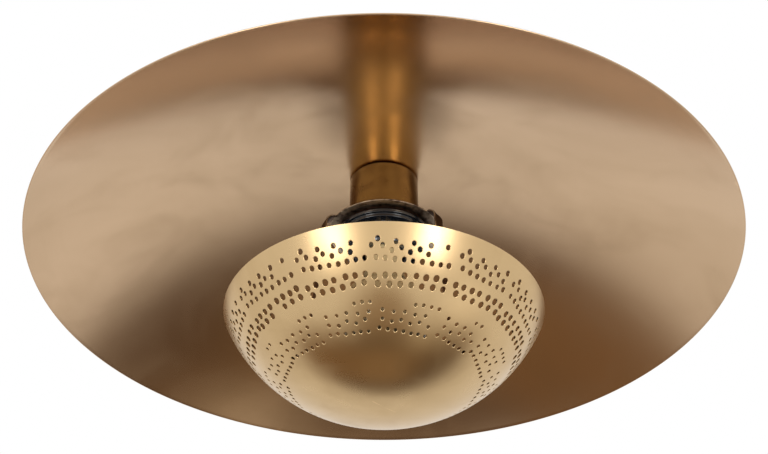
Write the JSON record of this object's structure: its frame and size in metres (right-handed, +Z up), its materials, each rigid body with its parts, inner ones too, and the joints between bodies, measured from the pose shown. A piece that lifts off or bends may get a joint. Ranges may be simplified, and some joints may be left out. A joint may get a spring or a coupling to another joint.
{
  "type": "ceiling lamp",
  "caption": "Ceiling lamp: a wide satin brass dish on a ceiling strap, with a perforated brass bowl that hangs under it round an opal globe bulb.",
  "frame": {"origin": "middle of the ceiling strap's top face, which lies on the ceiling", "axes": "+Z up into the ceiling along the lamp's own axis, +X along the strap towards the terminal block, -Y towards the side the picture was taken from"},
  "size_m": [0.4612, 0.4612, 0.2089],
  "materials": {
    "zinc_steel": "zinc plated",
    "satin_brass": "satin, lightly tarnished",
    "polished_brass": "polished, lacquered",
    "dark_steel": "browned",
    "bakelite": "glossy black",
    "fibre": "red-brown vulcanised fibre",
    "white_ceramic": "unglazed",
    "opal_glass": "white opal",
    "clear_glass": "clear",
    "black_glass": "black vitrite",
    "block_plastic": "off-white",
    "tungsten": "bright wire",
    "brown_wire": "brown insulation",
    "blue_wire": "blue insulation",
    "green_wire": "green and yellow insulation"
  },
  "bodies": {
    "canopy": {"ceiling_strap": "zinc_steel", "crossbar": "zinc_steel", "side_screw_right": "zinc_steel", "side_screw_left": "zinc_steel", "hollow_rod": "zinc_steel", "upper_nut": "zinc_steel", "lower_nut": "zinc_steel", "dish_washer": "zinc_steel", "dish": "satin_brass", "cup": "satin_brass", "lock_washer": "zinc_steel", "lock_nut": "zinc_steel", "terminal_block": "block_plastic", "clamp_screw_1": "zinc_steel", "clamp_screw_2": "zinc_steel", "clamp_screw_3": "zinc_steel", "clamp_screw_4": "zinc_steel", "clamp_screw_5": "zinc_steel", "clamp_screw_6": "zinc_steel", "block_screw": "zinc_steel", "earth_lug": "polished_brass", "earth_screw": "polished_brass", "live_wire": "brown_wire", "neutral_wire": "blue_wire", "earth_wire": "green_wire", "socket_cap": "bakelite", "socket_mantle": "bakelite", "socket_insert": "white_ceramic", "thread_shell": "polished_brass", "centre_contact": "polished_brass", "live_terminal": "polished_brass", "neutral_terminal": "polished_brass", "live_terminal_screw": "polished_brass", "neutral_terminal_screw": "polished_brass"},
    "clamp": {"ring_washer": "fibre"},
    "ring": {"shade_ring": "bakelite"},
    "shade": {"spider": "dark_steel", "bowl": "polished_brass"},
    "bulb_lead": {"bulb_tip": "zinc_steel"},
    "bulb": {"bulb_cap": "zinc_steel", "cap_insulator": "black_glass", "bulb_glass": "opal_glass", "bulb_stem": "clear_glass", "filament": "tungsten"}
  },
  "joints": [
    {"name": "ring_travel", "type": "slide", "parent": "canopy", "child": "clamp", "axis": [0, 0, -1], "range_m": [0, 0.006]},
    {"name": "ring_turn", "type": "hinge", "parent": "clamp", "child": "ring", "pos_m": [0, 0, -0.0864], "axis": [0, 0, -1], "range_deg": [0, 1080]},
    {"name": "bowl_swivel", "type": "hinge", "parent": "clamp", "child": "shade", "pos_m": [0, 0, -0.078], "axis": [0, 0, -1], "continuous": true},
    {"name": "bulb_travel", "type": "slide", "parent": "canopy", "child": "bulb_lead", "axis": [0, 0, -1], "range_m": [0, 0.01]},
    {"name": "bulb_turn", "type": "hinge", "parent": "bulb_lead", "child": "bulb", "pos_m": [0, 0, -0.085], "axis": [0, 0, -1], "range_deg": [0, 992.01]}
  ],
  "couplings": [
    {"joint": "ring_turn", "follows": "ring_travel", "rad_per_m": 3141.6},
    {"joint": "bulb_turn", "follows": "bulb_travel", "rad_per_m": 1731.4}
  ]
}
